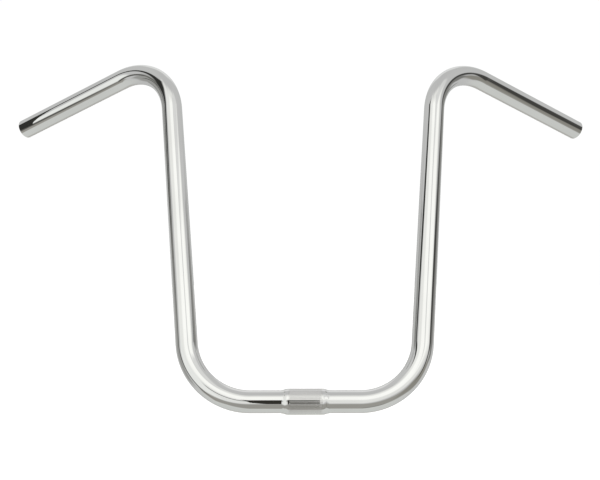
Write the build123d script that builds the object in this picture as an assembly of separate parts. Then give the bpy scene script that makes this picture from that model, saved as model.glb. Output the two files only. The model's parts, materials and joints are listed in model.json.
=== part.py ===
from build123d import *
import math
import os

os.makedirs("parts", exist_ok=True)

# High-rise ("ape hanger") handlebar: one bent round steel tube with a larger clamp sleeve pressed on its middle.
# Millimetres. Origin at the centre of the clamp sleeve, +X along it, +Z up. The uprights rise from the
# clamp and lean back towards +Y, the rider's side, and the two hand grips sweep back and droop.

# --- tube ---
TUBE_OD = 22.225          # 7/8 in, the size that hand grips and lever clamps fit
TUBE_WALL = 1.6
RIM_ROUND = 0.5           # outer rim of the two cut ends
RIM_BREAK = 0.3           # inner rim of the two cut ends

# --- route of the tube's centreline, one side, from the clamp centre outwards ---
CENTRE_HALF = 53.8        # straight, from the middle of the clamp to the first bend
BEND_R = 65.0             # centreline radius of all four bends
LOWER_TURN = 84.4         # degrees; under 90, so the uprights splay outwards
UPRIGHT = 270.6           # straight length of an upright
UPPER_TURN = 92.8         # degrees
SWEEP_TWIST = 32.1        # degrees that the upper bend is turned about the upright, towards the rider
GRIP = 155.0              # straight length of a hand grip
LEAN_BACK = 22.0          # degrees that the whole bar is rolled back in its clamp

# --- clamp sleeve ---
SLEEVE_OD = 25.4          # 1 in stem clamp size
SLEEVE_FLAT = 34.0        # length at full diameter
SLEEVE_TAPER = 6.5        # length of each swaged end, measured along the tube
SLEEVE_LIP = 0.3          # wall left at each swaged end

R_OUT = TUBE_OD / 2
R_IN = R_OUT - TUBE_WALL


def annulus(point, direction):
    """The tube's section at a point of its centreline, square to it."""
    plane = Plane(origin=point, z_dir=direction)
    return plane * (Circle(R_OUT) - Circle(R_IN))


def straight(point, direction, length):
    return extrude(annulus(point, direction), amount=length, dir=direction)


def bend(point, direction, axis_dir, degrees):
    """A tangent bend about axis_dir. Returns the solid and the centreline's point and direction at its far end."""
    centre = point + axis_dir.cross(direction) * BEND_R
    axis = Axis(origin=centre, direction=axis_dir)
    solid = revolve(annulus(point, direction), axis=axis, revolution_arc=degrees)
    far = centre + (point - centre).rotate(Axis((0, 0, 0), axis_dir), degrees)
    return solid, far, direction.rotate(Axis((0, 0, 0), axis_dir), degrees)


def round_rim(solid, end, direction):
    """Round the outer rim and break the inner rim of the cut end of a grip."""
    rims = [
        e
        for e in solid.edges().filter_by(GeomType.CIRCLE)
        if abs((e.arc_center - end).dot(direction)) < 1e-4
    ]
    outer = [e for e in rims if abs(e.radius - R_OUT) < 1e-4]
    inner = [e for e in rims if abs(e.radius - R_IN) < 1e-4]
    solid = fillet(outer, RIM_ROUND)
    inner = [
        e
        for e in solid.edges().filter_by(GeomType.CIRCLE)
        if abs((e.arc_center - end).dot(direction)) < 1e-4
        and abs(e.radius - R_IN) < 1e-4
    ]
    return chamfer(inner, RIM_BREAK)


def half(side):
    """The bends, upright and grip on one side; side is +1 for +X and -1 for -X."""
    out = Vector(side, 0, 0)
    pieces = []
    p, d = out * CENTRE_HALF, out
    solid, p, d = bend(p, d, Vector(0, -side, 0), LOWER_TURN)
    pieces.append(solid)
    pieces.append(straight(p, d, UPRIGHT))
    p = p + d * UPRIGHT
    turn_axis = Vector(0, side, 0).rotate(Axis((0, 0, 0), d), side * SWEEP_TWIST)
    solid, p, d = bend(p, d, turn_axis, UPPER_TURN)
    pieces.append(solid)
    grip = straight(p, d, GRIP)
    pieces.append(round_rim(grip, p + d * GRIP, d))
    return pieces, p, d


right, right_p, right_d = half(1)
left, left_p, left_d = half(-1)
centre = straight(Vector(-CENTRE_HALF, 0, 0), Vector(1, 0, 0), 2 * CENTRE_HALF)
tube = centre.fuse(*right, *left)
lean = Rot(-LEAN_BACK, 0, 0)
tube = lean * tube

# The sleeve: a ring on the tube's middle, full diameter over SLEEVE_FLAT, with ends swaged down to the tube in an S
# of two equal tangent arcs.
r_full = SLEEVE_OD / 2
r_lip = R_OUT + SLEEVE_LIP
half_flat = SLEEVE_FLAT / 2
half_all = half_flat + SLEEVE_TAPER
drop = r_full - r_lip
s_radius = (SLEEVE_TAPER**2 + drop**2) / (4 * drop)
middle = (half_flat + SLEEVE_TAPER / 2, (r_full + r_lip) / 2)


def s_curve(sign):
    """The swaged end's profile, in the XY plane, from the full diameter down to the lip."""
    c1 = (sign * half_flat, r_full - s_radius)
    c2 = (sign * half_all, r_lip + s_radius)
    turn = math.asin(SLEEVE_TAPER / 2 / s_radius)
    m1 = (c1[0] + sign * s_radius * math.sin(turn / 2), c1[1] + s_radius * math.cos(turn / 2))
    m2 = (c2[0] - sign * s_radius * math.sin(turn / 2), c2[1] - s_radius * math.cos(turn / 2))
    mid = (sign * middle[0], middle[1])
    return [
        ThreePointArc((sign * half_flat, r_full), m1, mid),
        ThreePointArc(mid, m2, (sign * half_all, r_lip)),
    ]


outline = Wire(
    [
        Line((-half_all, R_OUT), (half_all, R_OUT)).edge(),
        Line((half_all, R_OUT), (half_all, r_lip)).edge(),
        *[a.edge() for a in s_curve(1)],
        Line((half_flat, r_full), (-half_flat, r_full)).edge(),
        *[a.edge() for a in s_curve(-1)],
        Line((-half_all, r_lip), (-half_all, R_OUT)).edge(),
    ]
)
sleeve = revolve(Face(outline), axis=Axis.X, revolution_arc=360)
sleeve = lean * sleeve

for name, shape in (("handlebar_tube", tube), ("clamp_sleeve", sleeve)):
    solids = shape.solids()
    assert len(solids) == 1 and solids[0].is_valid, name
    export_step(solids[0], f"parts/{name}.step")

length = 2 * (
    CENTRE_HALF
    + BEND_R * math.radians(LOWER_TURN + UPPER_TURN)
    + UPRIGHT
    + GRIP
)
section = math.pi * (R_OUT**2 - R_IN**2)
print("tube length", round(length, 1), "volume", round(tube.volume, 1), "section times length", round(section * length, 1))
for side, p, d in (("right", right_p, right_d), ("left", left_p, left_d)):
    for s in (0, GRIP / 2, GRIP):
        q = (Location((0, 0, 0), (-LEAN_BACK, 0, 0)) * Pos(*(p + d * s))).position
        print(side, "grip at", s, [round(v, 4) for v in q])
    e = (Location((0, 0, 0), (-LEAN_BACK, 0, 0)) * Pos(*d)).position
    print(side, "grip direction", [round(v, 6) for v in e])
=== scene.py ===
"""Looks for the high-rise handlebar: a chrome tube swept along its route, a ribbed clamp sleeve, and a white studio."""

import json
import math

import bpy
import numpy as np
from mathutils import Matrix, Vector

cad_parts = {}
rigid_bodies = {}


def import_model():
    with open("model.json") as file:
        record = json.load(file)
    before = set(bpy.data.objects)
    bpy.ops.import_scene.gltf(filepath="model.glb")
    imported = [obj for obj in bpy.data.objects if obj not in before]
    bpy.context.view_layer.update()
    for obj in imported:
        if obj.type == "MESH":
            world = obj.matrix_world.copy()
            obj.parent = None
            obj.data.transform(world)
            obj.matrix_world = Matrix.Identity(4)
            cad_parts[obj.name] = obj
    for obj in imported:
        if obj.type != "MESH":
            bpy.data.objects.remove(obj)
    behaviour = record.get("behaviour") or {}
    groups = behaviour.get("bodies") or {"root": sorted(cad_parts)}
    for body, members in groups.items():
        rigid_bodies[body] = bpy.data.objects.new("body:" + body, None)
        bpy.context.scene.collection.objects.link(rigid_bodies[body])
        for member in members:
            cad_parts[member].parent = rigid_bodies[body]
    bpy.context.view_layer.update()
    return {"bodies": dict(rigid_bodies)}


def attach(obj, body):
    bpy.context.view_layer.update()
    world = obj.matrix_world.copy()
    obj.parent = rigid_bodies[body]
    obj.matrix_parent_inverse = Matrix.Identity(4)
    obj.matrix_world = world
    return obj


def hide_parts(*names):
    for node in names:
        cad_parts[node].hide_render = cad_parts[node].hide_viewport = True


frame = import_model()
BODY = sorted(frame["bodies"])[0]  # no joints, so there is one body

MM = 0.001

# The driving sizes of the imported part, in millimetres.
TUBE_R, WALL = 11.1125, 1.6
RIM_ROUND, RIM_BREAK = 0.5, 0.3
CENTRE_HALF, BEND_R = 53.8, 65.0
LOWER_TURN, UPRIGHT, UPPER_TURN, SWEEP_TWIST, GRIP = 84.4, 270.6, 92.8, 32.1, 155.0
LEAN_BACK = 22.0
SLEEVE_R, SLEEVE_FLAT, SLEEVE_TAPER, SLEEVE_LIP = 12.7, 34.0, 6.5, 0.3
BORE_R = TUBE_R - WALL


# ---------------------------------------------------------------- the route
def turned(v, axis, degrees):
    """v turned about a unit axis."""
    a = math.radians(degrees)
    return (
        v * math.cos(a)
        + np.cross(axis, v) * math.sin(a)
        + axis * (axis @ v) * (1 - math.cos(a))
    )


def leaned(v):
    c, s = math.cos(math.radians(LEAN_BACK)), math.sin(math.radians(LEAN_BACK))
    return np.array([v[0], v[1] * c + v[2] * s, -v[1] * s + v[2] * c])


def one_side(side, step_straight, step_turn):
    """Stations from the clamp centre to a grip's end: point, direction, and a unit vector square to it, carried along without twist."""
    p, d = np.zeros(3), np.array([float(side), 0, 0])
    u = np.array([0.0, 0.0, 1.0])
    out = [(p, d, u, 0.0)]
    s = 0.0

    def run(length):
        nonlocal p, s
        n = max(1, round(length / step_straight))
        for i in range(1, n + 1):
            out.append((p + d * length * i / n, d, u, s + length * i / n))
        p, s = p + d * length, s + length

    def bend(axis, degrees):
        nonlocal p, d, u, s
        centre = p + np.cross(axis, d) * BEND_R
        n = max(2, round(degrees / step_turn))
        for i in range(1, n + 1):
            a = degrees * i / n
            out.append(
                (
                    centre + turned(p - centre, axis, a),
                    turned(d, axis, a),
                    turned(u, axis, a),
                    s + BEND_R * math.radians(a),
                )
            )
        p, d, u = (
            centre + turned(p - centre, axis, degrees),
            turned(d, axis, degrees),
            turned(u, axis, degrees),
        )
        s += BEND_R * math.radians(degrees)

    run(CENTRE_HALF)
    bend(np.array([0.0, -float(side), 0.0]), LOWER_TURN)
    run(UPRIGHT)
    bend(turned(np.array([0.0, float(side), 0.0]), d, side * SWEEP_TWIST), UPPER_TURN)
    run(GRIP)
    return out


def stations(step_straight, step_turn):
    """The whole tube from the left end to the right end, leaned back, with distance along it measured from the clamp centre."""
    left = [
        (p, -d, u, -s) for p, d, u, s in reversed(one_side(-1, step_straight, step_turn))
    ]
    right = one_side(1, step_straight, step_turn)[1:]
    return [(leaned(p), leaned(d), leaned(u), s) for p, d, u, s in left + right]


# ---------------------------------------------------------------- mesh helpers
def ring_mesh(name, rings, around, split=()):
    """A closed mesh of rings joined in order, the last to the first. A ring is (points, normals, coords, slot): slot is the material of the band that starts at it.
    split gives (band, normals) for a band that keeps a normal of its own, such as a chamfer."""
    count = len(rings)
    verts = np.concatenate([r[0] for r in rings]) * MM
    k = np.arange(around)
    k2 = (k + 1) % around
    faces, slots = [], []
    for i in range(count):
        a, b = i * around, ((i + 1) % count) * around
        faces.append(np.column_stack([a + k, a + k2, b + k2, b + k]))
        slots.append(np.full(around, rings[i][3]))
    faces = np.concatenate(faces)
    mesh = bpy.data.meshes.new(name)
    mesh.from_pydata(verts.tolist(), [], faces.tolist())
    mesh.polygons.foreach_set("material_index", np.concatenate(slots).astype(np.int32))
    mesh.polygons.foreach_set("use_smooth", np.ones(len(faces), bool))
    mesh.update()
    # Exact normals, so that the reflections run smoothly along the tube.
    out = np.concatenate([r[1] for r in rings])
    corner = out[faces].copy()  # face, corner, xyz
    for i, normal in split:
        rows = slice(i * around, (i + 1) * around)
        corner[rows, 0] = corner[rows, 3] = normal
        corner[rows, 1] = corner[rows, 2] = np.roll(normal, -1, 0)
    mesh.normals_split_custom_set(corner.reshape(-1, 3).tolist())
    coord = mesh.attributes.new("along_round", "FLOAT_VECTOR", "POINT")
    coord.data.foreach_set(
        "vector", (np.concatenate([r[2] for r in rings]) * MM).astype(np.float32).ravel()
    )
    obj = bpy.data.objects.new(name, mesh)
    bpy.context.scene.collection.objects.link(obj)
    return obj


def ring(station, angles, radius, normal_out, normal_along, slot, shift=0.0):
    """One ring square to the route. normal_out and normal_along are the parts of its surface normal away from the axis and along it."""
    p, d, u, s = station
    w = np.cross(d, u)
    radial = np.cos(angles)[:, None] * u + np.sin(angles)[:, None] * w
    radius = np.broadcast_to(radius, angles.shape)
    points = p + d * shift + radial * radius[:, None]
    normals = radial * normal_out + d * normal_along
    normals /= np.linalg.norm(normals, axis=1)[:, None]
    coords = np.column_stack(
        [np.full(len(angles), s + shift), radius * np.cos(angles), radius * np.sin(angles)]
    )
    return points, normals, coords, slot


def radial_of(station, angles):
    p, d, u, s = station
    return np.cos(angles)[:, None] * u + np.sin(angles)[:, None] * np.cross(d, u)


# ---------------------------------------------------------------- the tube
def build_tube():
    around = 96
    angles = np.arange(around) * 2 * math.pi / around
    outer = stations(4.0, 1.2)
    inner = stations(30.0, 4.0)
    rings, split = [], []
    # outer skin, left end to right end, kept clear of the rounded rims
    first, last = outer[0], outer[-1]
    rings.append(ring(first, angles, TUBE_R, 1, 0, 0, shift=RIM_ROUND))
    for st in outer[1:-1]:
        rings.append(ring(st, angles, TUBE_R, 1, 0, 0))
    rings.append(ring(last, angles, TUBE_R, 1, 0, 0, shift=-RIM_ROUND))

    def rim(st, side):
        """From the outer skin round the rim to the bore, or the other way, at one cut end."""
        made = []
        for i in range(1, 7):
            a = math.radians(90 * i / 6)
            made.append(
                (
                    TUBE_R - RIM_ROUND + RIM_ROUND * math.cos(a),
                    side * (-RIM_ROUND + RIM_ROUND * math.sin(a)),
                    math.cos(a),
                    side * math.sin(a),
                )
            )
        made.append((BORE_R + RIM_BREAK, 0.0, 0.0, side * 1.0))
        made.append((BORE_R, -side * RIM_BREAK, -0.7071, side * 0.7071))
        return made

    right = rim(last, 1)
    for r, shift, no, na in right:
        rings.append(ring(last, angles, r, no, na, 1, shift=shift))
    rings[-1] = ring(last, angles, BORE_R, -1, 0, 2, shift=-RIM_BREAK)
    split.append((len(rings) - 2, radial_of(last, angles) * -0.7071 + last[1] * 0.7071))
    rings.append(ring(last, angles, BORE_R, -1, 0, 2, shift=-2.0))
    for st in reversed(inner[1:-1]):
        rings.append(ring(st, angles, BORE_R, -1, 0, 2))
    rings.append(ring(first, angles, BORE_R, -1, 0, 2, shift=2.0))
    left = rim(first, -1)
    rings.append(ring(first, angles, BORE_R, -1, 0, 1, shift=RIM_BREAK))
    split.append((len(rings) - 1, radial_of(first, angles) * -0.7071 - first[1] * 0.7071))
    for r, shift, no, na in reversed(left[:-1]):
        rings.append(ring(first, angles, r, no, na, 1, shift=shift))
    return ring_mesh("chrome_tube", rings, around, split)


# ---------------------------------------------------------------- the sleeve
RIBS, PER_RIB = 64, 12
RIB_HALF, RIB_RUNOUT = 16.6, 2.2
RIB_DEPTH, SHOULDER_R = 0.13, 12.64


def rib_profile():
    """Radius round the ribbed band: flat-topped ribs with narrow rounded grooves, each a touch different, as rolled ribs are."""
    t = np.arange(RIBS * PER_RIB) / PER_RIB
    f = np.abs((t % 1.0) - 0.5) * 2  # 0 at a rib's middle, 1 in a groove
    groove = np.clip((f - 0.72) / 0.28, 0, 1)
    groove = groove * groove * (3 - 2 * groove)
    rib = np.floor(t).astype(int)
    depth = RIB_DEPTH * (1 + 0.10 * np.sin(rib * 2.399) * np.cos(rib * 0.731))
    return SLEEVE_R - depth * groove


def build_sleeve():
    around = RIBS * PER_RIB
    angles = (np.arange(around) + 0.5) * 2 * math.pi / around
    axis_station = (np.zeros(3), np.array([1.0, 0, 0]), leaned(np.array([0, 0, 1.0])), 0.0)
    ribbed = rib_profile()
    half_flat, half_all = SLEEVE_FLAT / 2, SLEEVE_FLAT / 2 + SLEEVE_TAPER
    r_lip = TUBE_R + SLEEVE_LIP
    drop = SHOULDER_R - r_lip
    arc = (SLEEVE_TAPER**2 + drop**2) / (4 * drop)
    turn = math.asin(SLEEVE_TAPER / 2 / arc)
    # half of the outline, from the middle outwards: x, radius, slope of the surface, how much of the ribs shows, material
    half = [(0.0, None, 0.0, 1.0, 1)]
    for x in (2.5, 5, 7.5, 10, 12.5, 14.0):
        half.append((x, None, 0.0, 1.0, 1))
    for i in range(7):
        e = i / 6
        half.append((RIB_HALF - RIB_RUNOUT + RIB_RUNOUT * e, None, 0.0, 1 - e * e * (3 - 2 * e), 1))
    half[-1] = (RIB_HALF, SHOULDER_R, 0.0, 0.0, 0)
    half.append((RIB_HALF + 0.15, SHOULDER_R, 0.0, 0.0, 0))
    half.append((half_flat, SHOULDER_R, 0.0, 0.0, 0))
    for i in range(1, 17):
        a = turn * i / 16
        half.append((half_flat + arc * math.sin(a), SHOULDER_R - arc * (1 - math.cos(a)), math.tan(a), 0.0, 0))
    for i in range(1, 17):
        a = turn * (1 - i / 16)
        half.append((half_all - arc * math.sin(a), r_lip + arc * (1 - math.cos(a)), math.tan(a), 0.0, 0))
    profile = [(-x, r, -m, k, s) for x, r, m, k, s in reversed(half[1:])] + half

    rings = []
    for x, r, slope, share, slot in profile:
        radius = SHOULDER_R + (ribbed - SHOULDER_R) * share if r is None else np.full(around, r)
        rings.append(ring(axis_station, angles, radius, 1, slope, slot, shift=x))
    # material of a band is that of the ring it starts at, so the left half takes its neighbour's
    for i, (x, r, slope, share, slot) in enumerate(profile[:-1]):
        slot = 1 if -RIB_HALF <= x < RIB_HALF - 1e-6 else 0
        rings[i] = rings[i][:3] + (slot,)
    skin = len(rings)
    # end faces and the bore that sits on the tube
    rings.append(ring(axis_station, angles, TUBE_R + 0.08, 0, 1, 0, shift=half_all))
    rings.append(ring(axis_station, angles, TUBE_R, -1, 0, 0, shift=half_all - 0.08))
    rings.append(ring(axis_station, angles, TUBE_R, -1, 0, 0, shift=-half_all + 0.08))
    rings.append(ring(axis_station, angles, TUBE_R + 0.08, 0, -1, 0, shift=-half_all))

    count = len(rings)
    verts = np.concatenate([r[0] for r in rings]) * MM
    k = np.arange(around)
    k2 = (k + 1) % around
    faces = np.concatenate(
        [
            np.column_stack([i * around + k, i * around + k2, ((i + 1) % count) * around + k2, ((i + 1) % count) * around + k])
            for i in range(count)
        ]
    )
    mesh = bpy.data.meshes.new("ribbed_sleeve")
    mesh.from_pydata(verts.tolist(), [], faces.tolist())
    mesh.polygons.foreach_set("material_index", np.repeat([r[3] for r in rings], around).astype(np.int32))
    mesh.polygons.foreach_set("use_smooth", np.ones(len(faces), bool))
    mesh.update()
    # The lip's corner stays crisp.
    sharp = np.zeros(len(mesh.edges), bool)
    ends = np.empty(len(mesh.edges) * 2, np.int32)
    mesh.edges.foreach_get("vertices", ends)
    which = ends.reshape(-1, 2) // around
    for i in (0, skin - 1, skin, count - 1):
        sharp |= (which[:, 0] == i) & (which[:, 1] == i)
    mesh.attributes.new("sharp_edge", "BOOLEAN", "EDGE").data.foreach_set("value", sharp)
    coord = mesh.attributes.new("along_round", "FLOAT_VECTOR", "POINT")
    coord.data.foreach_set(
        "vector", (np.concatenate([r[2] for r in rings]) * MM).astype(np.float32).ravel()
    )
    obj = bpy.data.objects.new("ribbed_sleeve", mesh)
    bpy.context.scene.collection.objects.link(obj)
    return obj


# ---------------------------------------------------------------- node helpers
class Nodes:
    """A small helper for building a node tree in code."""

    def __init__(self, tree):
        self.tree = tree
        tree.nodes.clear()

    def add(self, kind, **values):
        n = self.tree.nodes.new(kind)
        for key, value in values.items():
            setattr(n, key, value)
        return n

    def link(self, a, b):
        self.tree.links.new(a, b)

    def feed(self, socket, value):
        if isinstance(value, bpy.types.NodeSocket):
            self.link(value, socket)
        else:
            socket.default_value = value

    def math(self, op, a, b=0.0, c=0.0, clamp=False):
        n = self.add("ShaderNodeMath", operation=op, use_clamp=clamp)
        for i, v in enumerate((a, b, c)):
            self.feed(n.inputs[i], v)
        return n.outputs[0]

    def ramp(self, value, lo, hi, to_lo=0.0, to_hi=1.0):
        """A smooth step of value between lo and hi."""
        n = self.add("ShaderNodeMapRange", interpolation_type="SMOOTHSTEP", clamp=True)
        self.feed(n.inputs["Value"], value)
        n.inputs["From Min"].default_value = lo
        n.inputs["From Max"].default_value = hi
        n.inputs["To Min"].default_value = to_lo
        n.inputs["To Max"].default_value = to_hi
        return n.outputs["Result"]

    def mix(self, share, a, b):
        """Colour a where share is 0 and b where it is 1."""
        n = self.add("ShaderNodeMix", data_type="RGBA")
        self.feed(n.inputs[0], share)
        self.feed(n.inputs[6], a)
        self.feed(n.inputs[7], b)
        return n.outputs[2]

    def scaled(self, vector, by):
        n = self.add("ShaderNodeVectorMath", operation="MULTIPLY")
        self.link(vector, n.inputs[0])
        n.inputs[1].default_value = by
        return n.outputs[0]

    def noise(self, vector, scale, detail=2.0, roughness=0.5, distortion=0.0):
        n = self.add("ShaderNodeTexNoise")
        self.link(vector, n.inputs["Vector"])
        n.inputs["Scale"].default_value = scale
        n.inputs["Detail"].default_value = detail
        n.inputs["Roughness"].default_value = roughness
        n.inputs["Distortion"].default_value = distortion
        return n.outputs["Fac"]


def grey(v, tint=(1.0, 1.0, 1.0)):
    return (v * tint[0], v * tint[1], v * tint[2], 1.0)


# ---------------------------------------------------------------- materials
def chrome(name, low, high, tint, haze, base_rough, wave=1.1e-5, lines=1.0e-7):
    """Bright plate over polished steel. low and high are its reflectance where it is thin and where it is full."""
    m = bpy.data.materials.new(name)
    m.use_nodes = True
    g = Nodes(m.node_tree)
    out = g.add("ShaderNodeOutputMaterial")
    bsdf = g.add("ShaderNodeBsdfPrincipled")
    g.link(bsdf.outputs[0], out.inputs["Surface"])
    bsdf.inputs["Metallic"].default_value = 1.0
    bsdf.inputs["Specular Tint"].default_value = (0.80, 0.805, 0.80, 1.0)  # chromium stays darker than Schlick's curve at a slant
    at = g.add("ShaderNodeAttribute", attribute_name="along_round")
    pos = at.outputs["Vector"]
    # colour: a slow drift in the plate, with faint lengthwise draw lines under it
    slow = g.noise(pos, 14.0, 3.0)
    draw = g.noise(g.scaled(pos, (18.0, 900.0, 900.0)), 1.0, 2.0, 0.6)
    share = g.math("MULTIPLY_ADD", slow, 0.75, g.math("MULTIPLY", draw, 0.25))
    colour = g.mix(g.ramp(share, 0.35, 0.65), grey(low, tint), grey(high, (tint[0], 1.0, tint[2])))
    g.link(colour, bsdf.inputs["Base Color"])
    # roughness: polished, with wiped haze and the finest polishing lines round the tube
    wipe = g.noise(g.scaled(pos, (35.0, 120.0, 120.0)), 1.0, 4.0, 0.62, 0.6)
    spots = g.noise(pos, 420.0, 3.0, 0.7)
    haze_share = g.math("MULTIPLY", g.ramp(wipe, 0.48, 0.78), g.ramp(spots, 0.30, 0.75, 0.55, 1.0))
    polish = g.noise(g.scaled(pos, (2600.0, 60.0, 60.0)), 1.0, 1.0, 0.5)
    rough = g.math(
        "ADD",
        g.math("MULTIPLY_ADD", haze_share, haze, base_rough),
        g.math("MULTIPLY", polish, 0.012),
    )
    g.link(rough, bsdf.inputs["Roughness"])
    # surface: the slight waviness of drawn tube, and hair-fine polishing lines
    waves = g.noise(g.scaled(pos, (30.0, 75.0, 75.0)), 1.0, 2.0, 0.45)
    b1 = g.add("ShaderNodeBump")
    b1.inputs["Strength"].default_value = 1.0
    b1.inputs["Distance"].default_value = wave
    g.link(waves, b1.inputs["Height"])
    b2 = g.add("ShaderNodeBump")
    b2.inputs["Strength"].default_value = 1.0
    b2.inputs["Distance"].default_value = lines
    g.link(polish, b2.inputs["Height"])
    g.link(b1.outputs[0], b2.inputs["Normal"])
    g.link(b2.outputs[0], bsdf.inputs["Normal"])
    return m


def bare_steel(name):
    """The bore: drawn steel that the plating bath hardly reached, duller and browner further in."""
    m = bpy.data.materials.new(name)
    m.use_nodes = True
    g = Nodes(m.node_tree)
    out = g.add("ShaderNodeOutputMaterial")
    bsdf = g.add("ShaderNodeBsdfPrincipled")
    g.link(bsdf.outputs[0], out.inputs["Surface"])
    at = g.add("ShaderNodeAttribute", attribute_name="along_round")
    pos = at.outputs["Vector"]
    sep = g.add("ShaderNodeSeparateXYZ")
    g.link(pos, sep.inputs[0])
    end = (CENTRE_HALF + BEND_R * math.radians(LOWER_TURN + UPPER_TURN) + UPRIGHT + GRIP) * MM
    depth = g.math("SUBTRACT", end, g.math("ABSOLUTE", sep.outputs[0]))  # how far in from the nearer cut end
    drawn = g.noise(g.scaled(pos, (25.0, 700.0, 700.0)), 1.0, 3.0, 0.6)
    blotch = g.noise(pos, 90.0, 4.0, 0.65)
    inward = g.ramp(g.math("MULTIPLY_ADD", blotch, 0.012, depth), 0.004, 0.034)
    plain = g.mix(drawn, grey(0.34, (1.0, 0.97, 0.93)), grey(0.50, (1.0, 0.98, 0.95)))
    stained = g.mix(g.ramp(blotch, 0.52, 0.72), plain, grey(0.26, (1.15, 0.82, 0.58)))
    colour = g.mix(inward, grey(0.60, (1.0, 1.0, 0.985)), stained)
    g.link(colour, bsdf.inputs["Base Color"])
    bsdf.inputs["Metallic"].default_value = 0.45  # scale and oil film scatter light over the bare metal
    g.link(
        g.math("ADD", g.math("MULTIPLY", inward, 0.20), g.math("MULTIPLY_ADD", blotch, 0.16, 0.34)),
        bsdf.inputs["Roughness"],
    )
    b = g.add("ShaderNodeBump")
    b.inputs["Strength"].default_value = 1.0
    b.inputs["Distance"].default_value = 1.2e-5
    g.link(drawn, b.inputs["Height"])
    g.link(b.outputs[0], bsdf.inputs["Normal"])
    return m


def floor_paper(name):
    """White studio paper with the faintest tooth."""
    m = bpy.data.materials.new(name)
    m.use_nodes = True
    g = Nodes(m.node_tree)
    out = g.add("ShaderNodeOutputMaterial")
    bsdf = g.add("ShaderNodeBsdfPrincipled")
    g.link(bsdf.outputs[0], out.inputs["Surface"])
    geo = g.add("ShaderNodeNewGeometry")
    tooth = g.noise(geo.outputs["Position"], 180.0, 3.0)
    g.link(g.mix(tooth, (0.90, 0.90, 0.90, 1), (0.93, 0.93, 0.93, 1)), bsdf.inputs["Base Color"])
    bsdf.inputs["Roughness"].default_value = 0.95
    bsdf.inputs["Specular IOR Level"].default_value = 0.1
    bsdf.inputs["Emission Color"].default_value = (1, 1, 1, 1)
    bsdf.inputs["Emission Strength"].default_value = 0.16
    return m


def glow(name, colour, strength):
    m = bpy.data.materials.new(name)
    m.use_nodes = True
    g = Nodes(m.node_tree)
    out = g.add("ShaderNodeOutputMaterial")
    e = g.add("ShaderNodeEmission")
    e.inputs["Color"].default_value = colour
    e.inputs["Strength"].default_value = strength
    g.link(e.outputs[0], out.inputs["Surface"])
    return m


tube_chrome = chrome("tube_chrome", 0.545, 0.572, (0.995, 1.0, 0.985), 0.045, 0.018)
rim_chrome = chrome("rim_chrome", 0.46, 0.54, (1.0, 0.995, 0.975), 0.10, 0.09, wave=2.0e-5)
bore_steel = bare_steel("bore_steel")
sleeve_smooth = chrome("sleeve_smooth", 0.545, 0.572, (0.995, 1.0, 0.985), 0.05, 0.035, wave=1.6e-5)
sleeve_ribs = chrome("sleeve_ribs", 0.51, 0.56, (1.0, 0.995, 0.98), 0.08, 0.05, wave=0.8e-5, lines=2.0e-7)

tube = build_tube()
for m in (tube_chrome, rim_chrome, bore_steel):
    tube.data.materials.append(m)
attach(tube, BODY)
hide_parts("handlebar_tube")

sleeve = build_sleeve()
for m in (sleeve_smooth, sleeve_ribs):
    sleeve.data.materials.append(m)
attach(sleeve, BODY)
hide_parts("clamp_sleeve")


# ---------------------------------------------------------------- the studio
def disc(name, radius, z, segments=128):
    a = np.arange(segments) * 2 * math.pi / segments
    verts = [(0, 0, z)] + [(radius * math.cos(t), radius * math.sin(t), z) for t in a]
    faces = [(0, 1 + i, 1 + (i + 1) % segments) for i in range(segments)]
    mesh = bpy.data.meshes.new(name)
    mesh.from_pydata(verts, [], faces)
    obj = bpy.data.objects.new(name, mesh)
    bpy.context.scene.collection.objects.link(obj)
    return obj


def dome(name, radius, z0, rows=24, cols=64):
    verts, faces = [], []
    for i in range(rows + 1):
        e = math.radians(-90 + 180 * i / rows)
        for j in range(cols):
            a = 2 * math.pi * j / cols
            verts.append((radius * math.cos(e) * math.cos(a), radius * math.cos(e) * math.sin(a), z0 + radius * math.sin(e)))
    for i in range(rows):
        for j in range(cols):
            k = (j + 1) % cols
            faces.append((i * cols + j, i * cols + k, (i + 1) * cols + k, (i + 1) * cols + j))
    mesh = bpy.data.meshes.new(name)
    mesh.from_pydata(verts, [], faces)
    obj = bpy.data.objects.new(name, mesh)
    bpy.context.scene.collection.objects.link(obj)
    return obj


def card(name, corners, material):
    mesh = bpy.data.meshes.new(name)
    mesh.from_pydata(corners, [], [tuple(range(len(corners)))])
    mesh.materials.append(material)
    obj = bpy.data.objects.new(name, mesh)
    bpy.context.scene.collection.objects.link(obj)
    return obj


FLOOR_Z = -0.24
floor = disc("paper_floor", 9.0, FLOOR_Z)
floor.data.materials.append(floor_paper("floor_paper"))
floor.visible_glossy = False  # the studio's light on the plate is the world's, below

# What the camera sees behind the object, from any side: plain white. It lights nothing.
backdrop = dome("white_backdrop", 12.0, 0.0)
backdrop.data.materials.append(glow("white_backdrop", (1, 1, 1, 1), 1.02))
for flag in ("visible_diffuse", "visible_glossy", "visible_transmission", "visible_volume_scatter", "visible_shadow"):
    setattr(backdrop, flag, False)

# The dark body of a camera in front of the object, which the polished tube shows.
lens_card = card(
    "camera_body",
    [(-0.060, -1.06, -0.28), (0.055, -1.06, -0.28), (0.055, -1.06, 0.47), (-0.150, -1.06, 0.47), (-0.130, -1.06, 0.30)],
    glow("camera_body", (0.055, 0.052, 0.045, 1), 1.0),
)
# A dark edge of the tent close to the left grip's end.
edge_card = card(
    "tent_edge",
    [
        (-0.395, 0.186, 0.262), (-1.2, 0.288, 0.20), (-1.2, 0.288, 0.78),
        (-0.50, 0.198, 0.44), (-0.450, 0.192, 0.375), (-0.415, 0.188, 0.315),
    ],
    glow("tent_edge", (0.05, 0.05, 0.046, 1), 1.0),
)
for dark in (lens_card, edge_card):
    for flag in ("visible_camera", "visible_diffuse", "visible_shadow"):
        setattr(dark, flag, False)

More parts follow.
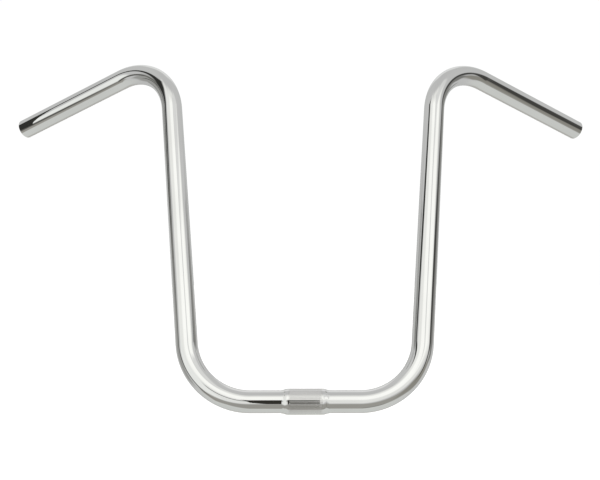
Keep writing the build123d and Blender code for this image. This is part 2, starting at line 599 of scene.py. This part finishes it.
# A broad soft light overhead, for the shadow on the paper. The plate doesn't show it.
over = bpy.data.lights.new("overhead", "AREA")
over.shape = "DISK"
over.size = 0.9
over.energy = 6.0
over_obj = bpy.data.objects.new("overhead", over)
over_obj.location = (-0.35, -0.25, 1.7)
over_obj.rotation_euler = (Vector((-0.35, -0.25, 1.7)) - Vector((0, 0.1, 0))).to_track_quat("Z", "Y").to_euler()
bpy.context.scene.collection.objects.link(over_obj)
over_obj.visible_glossy = False
over_obj.visible_camera = False


def build_world():
    """A white tent round the object: white walls, roof and table, a bright panel above the front, dark gaps at the sides and a grey front edge below."""
    world = bpy.data.worlds.new("studio")
    bpy.context.scene.world = world
    world.use_nodes = True
    g = Nodes(world.node_tree)
    out = g.add("ShaderNodeOutputWorld")
    bg = g.add("ShaderNodeBackground")
    g.link(bg.outputs[0], out.inputs["Surface"])
    tc = g.add("ShaderNodeTexCoord")
    sep = g.add("ShaderNodeSeparateXYZ")
    g.link(tc.outputs["Generated"], sep.inputs[0])
    x, y, z = sep.outputs
    # bearing in degrees, 0 to the front (-Y) and + to the right (+X), and height above the horizon
    az = g.math("MULTIPLY", g.math("ARCTAN2", x, g.math("MULTIPLY", y, -1.0)), 180 / math.pi)
    el = g.math("MULTIPLY", g.math("ARCSINE", z), 180 / math.pi)

    def band(v, a, b, soft_a, soft_b=None):
        soft_b = soft_a if soft_b is None else soft_b
        return g.math(
            "MULTIPLY",
            g.ramp(v, a - soft_a / 2, a + soft_a / 2),
            g.ramp(v, b - soft_b / 2, b + soft_b / 2, 1.0, 0.0),
        )

    def patch(az_range, el_range, az_soft, el_soft):
        return g.math("MULTIPLY", band(az, *az_range, *az_soft), band(el, *el_range, *el_soft))

    colour = grey(0.90)

    def lay(share, value, tint=(1, 1, 1)):
        nonlocal colour
        colour = g.mix(share, colour, grey(value, tint))

    def times(*shares):
        out = shares[0]
        for more in shares[1:]:
            out = g.math("MULTIPLY", out, more)
        return out

    def above(slope, at_az, at_el):
        """Height over a slanted line through a given bearing and height."""
        return g.math("SUBTRACT", el, g.math("MULTIPLY_ADD", az, slope, at_el - slope * at_az))

    # white table below, and the roof a little duller than the walls
    lay(g.ramp(el, -56, -24, 1.0, 0.0), 1.0, (0.985, 1.0, 0.975))
    lay(g.ramp(el, 60, 80), 0.87)
    # bright panel over the front: strongest in the middle, softer to the left and high on the right
    lay(patch((-69, 74), (18, 64), (8, 12), (16, 20)), 1.38, (1.0, 1.0, 0.975))
    lay(patch((-32, 36), (50, 72), (16, 20), (10, 14)), 1.34, (1.0, 1.0, 0.975))
    lay(patch((-30, 64), (22, 58), (20, 18), (14, 12)), 1.68, (1.0, 1.0, 0.975))
    lay(times(patch((25, 74), (46, 62), (8, 10), (5, 10)), 0.8), 1.06)
    lay(times(patch((14, 24), (34, 64), (6, 6), (10, 10)), 0.9), 1.0)  # a seam down it
    # its lower part, reaching furthest down on the left
    lower = times(g.ramp(above(0.45, 0, -9), -7, 5), g.ramp(el, 18, 32, 1.0, 0.0))
    lay(times(lower, band(az, -22, 60, 14, 16)), 1.30, (1.0, 1.0, 0.98))
    lay(times(band(az, -72, -20, 6, 14), g.ramp(above(0.0, 0, -21), -6, 6), g.ramp(el, 14, 30, 1.0, 0.0)), 1.42, (0.99, 1.0, 0.98))
    # grey, slightly brown, below the front, down to a curved edge with a thin dark line on its right
    reach = g.math("MULTIPLY_ADD", g.math("ABSOLUTE", az), 0.42, -67.0)
    over = g.math("SUBTRACT", el, reach)
    front = times(g.ramp(over, -3, 3), g.ramp(above(0.22, 0, -14), -8, 4, 1.0, 0.0), band(az, -74, 92, 14, 24))
    lay(front, 0.52, (1.02, 1.0, 0.93))
    lay(times(band(az, -68, -44, 6, 10), band(el, -50, -26, 6, 6)), 0.50, (1.04, 1.0, 0.92))
    lay(times(band(over, -1, 5, 4), band(az, 10, 44, 10)), 0.26, (1.0, 0.98, 0.92))
    lay(times(patch((42, 92), (-34, 0), (14, 12), (14, 10)), 0.9), 0.40, (1.04, 1.0, 0.90))
    # left: a dark slanted edge, a dark line below it, grey wall beyond
    lay(times(patch((-122, -84), (-30, 22), (18, 8), (14, 10)), 0.9), 0.50, (1.0, 1.0, 0.96))
    slant = above(1.05, -83, 34.5)
    lay(times(band(slant, -8, 7, 6), band(az, -95, -66, 8, 12)), 0.05, (1.0, 1.0, 0.93))
    lay(patch((-96, -88), (6, 20), (6, 4), (8, 8)), 0.24, (1.0, 1.0, 0.93))
    fall = above(-1.125, -84, 4)
    lay(times(band(fall, -8, 6, 6), band(az, -89, -54, 5, 8)), 0.17, (1.02, 1.0, 0.94))
    # right: a dark gap in the wall, and an edge falling from it towards the front
    lay(patch((77, 112), (9, 24), (10, 18), (9, 6)), 0.09, (1.0, 0.99, 0.95))
    lay(patch((86, 106), (-6, 12), (6, 10), (8, 8)), 0.33, (1.0, 0.99, 0.95))
    fall = above(1.45, 73, 12)
    lay(times(band(fall, -9, 8, 6), band(az, 61, 80, 6, 8)), 0.09, (1.0, 0.98, 0.92))
    lay(patch((104, 131), (2, 19), (14, 14), (8, 8)), 0.42, (1.0, 0.99, 0.95))
    # behind: a soft window high up, grey below it, and a dark gap in the middle
    back = g.math("ABSOLUTE", az)
    lay(times(g.ramp(back, 148, 162), band(el, 28, 58, 10)), 1.28)
    lay(times(g.ramp(back, 160, 170), band(el, -44, -13, 10)), 0.76, (1.02, 1.0, 0.95))
    lay(times(g.ramp(back, 162, 168), band(el, -5, 6, 4)), 0.18, (1.0, 1.0, 0.95))
    # a thin dark bar in front, at the left of the middle
    lay(times(patch((-24, -3), (11.5, 16.5), (6, 6), (3, 3)), 0.9), 0.12)
    bg.inputs["Strength"].default_value = 1.0
    g.link(colour, bg.inputs["Color"])


build_world()

# ---------------------------------------------------------------- the camera
cam = bpy.data.cameras.new("camera")
cam.sensor_width = 36.0
cam.lens = 60.0
cam.clip_start, cam.clip_end = 0.05, 60.0
cam_obj = bpy.data.objects.new("camera", cam)
right = Vector((0.999905873, -0.0137126117, 0.00045690768))
up = Vector((-0.000530918935, -0.00539415786, 0.99998531))
ahead = Vector((0.01370995, 0.99989143, 0.00540093))
cam_obj.matrix_world = Matrix(
    (
        (right.x, up.x, -ahead.x, -0.01871936),
        (right.y, up.y, -ahead.y, -0.98170702),
        (right.z, up.z, -ahead.z, 0.15333691),
        (0, 0, 0, 1),
    )
)
bpy.context.scene.collection.objects.link(cam_obj)
bpy.context.scene.camera = cam_obj
bpy.context.scene.view_settings.view_transform = "Standard"
